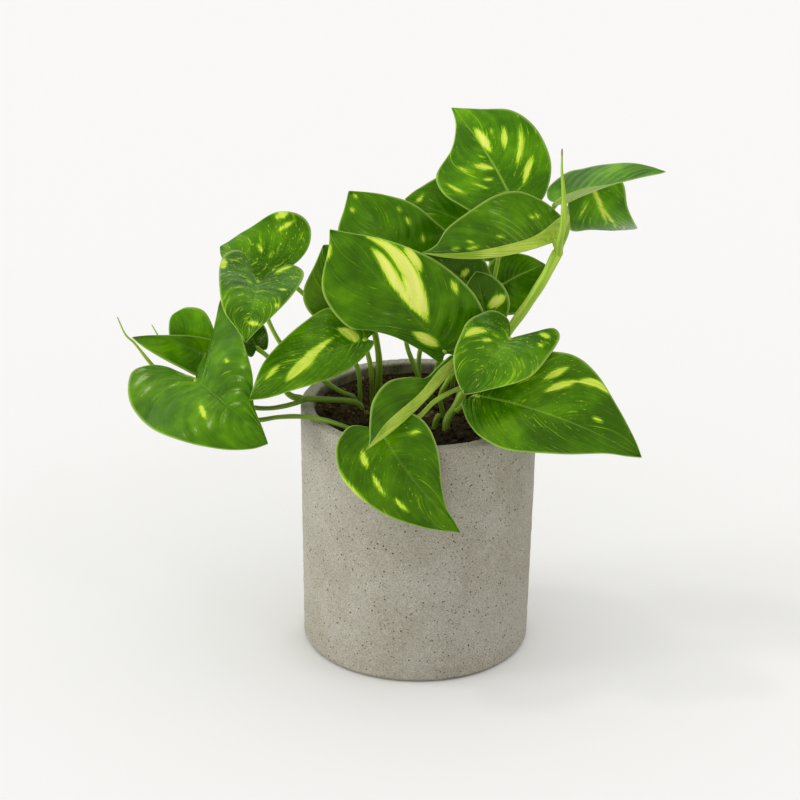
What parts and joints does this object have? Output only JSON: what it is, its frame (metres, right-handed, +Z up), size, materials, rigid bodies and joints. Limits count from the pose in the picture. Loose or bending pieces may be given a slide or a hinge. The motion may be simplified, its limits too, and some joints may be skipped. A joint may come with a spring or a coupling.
{
  "type": "potted golden pothos",
  "caption": "Golden pothos with glossy heart-shaped green leaves streaked with cream yellow, growing from dark soil in a round concrete pot.",
  "frame": {"origin": "centre of the pot's flat foot, where it stands", "axes": "+Z up, -Y towards the front side that the picture shows, +X to the right"},
  "size_m": [0.3154, 0.1756, 0.3091],
  "materials": {
    "concrete": "matte cast concrete with small pinholes",
    "soil": "crumbly dark potting soil",
    "stem": "satin yellow-green stalks",
    "leaf": "waxy gloss, mid green with cream-yellow streaks"
  },
  "bodies": {
    "root": {"pot": "concrete", "soil": "soil", "vine_right": "stem", "vine_left": "stem", "stub_left": "stem", "stub_centre": "stem", "spike_right": "stem", "spike_left_a": "stem", "spike_left_b": "stem", "petiole_01": "stem", "petiole_02": "stem", "petiole_03": "stem", "petiole_04": "stem", "petiole_05": "stem", "petiole_06": "stem", "petiole_07": "stem", "petiole_08": "stem", "petiole_09": "stem", "petiole_10": "stem", "petiole_11": "stem", "petiole_12": "stem", "petiole_13": "stem", "petiole_14": "stem", "petiole_15": "stem", "petiole_16": "stem", "petiole_17": "stem", "petiole_18": "stem", "petiole_19": "stem", "petiole_20": "stem", "petiole_21": "stem", "petiole_22": "stem", "leaf_01": "leaf", "leaf_02": "leaf", "leaf_03": "leaf", "leaf_04": "leaf", "leaf_05": "leaf", "leaf_06": "leaf", "leaf_07": "leaf", "leaf_08": "leaf", "leaf_09": "leaf", "leaf_10": "leaf", "leaf_11": "leaf", "leaf_12": "leaf", "leaf_13": "leaf", "leaf_14": "leaf", "leaf_15": "leaf", "leaf_16": "leaf", "leaf_17": "leaf", "leaf_18": "leaf", "leaf_19": "leaf", "leaf_20": "leaf", "leaf_21": "leaf", "leaf_22": "leaf"}
  },
  "joints": []
}
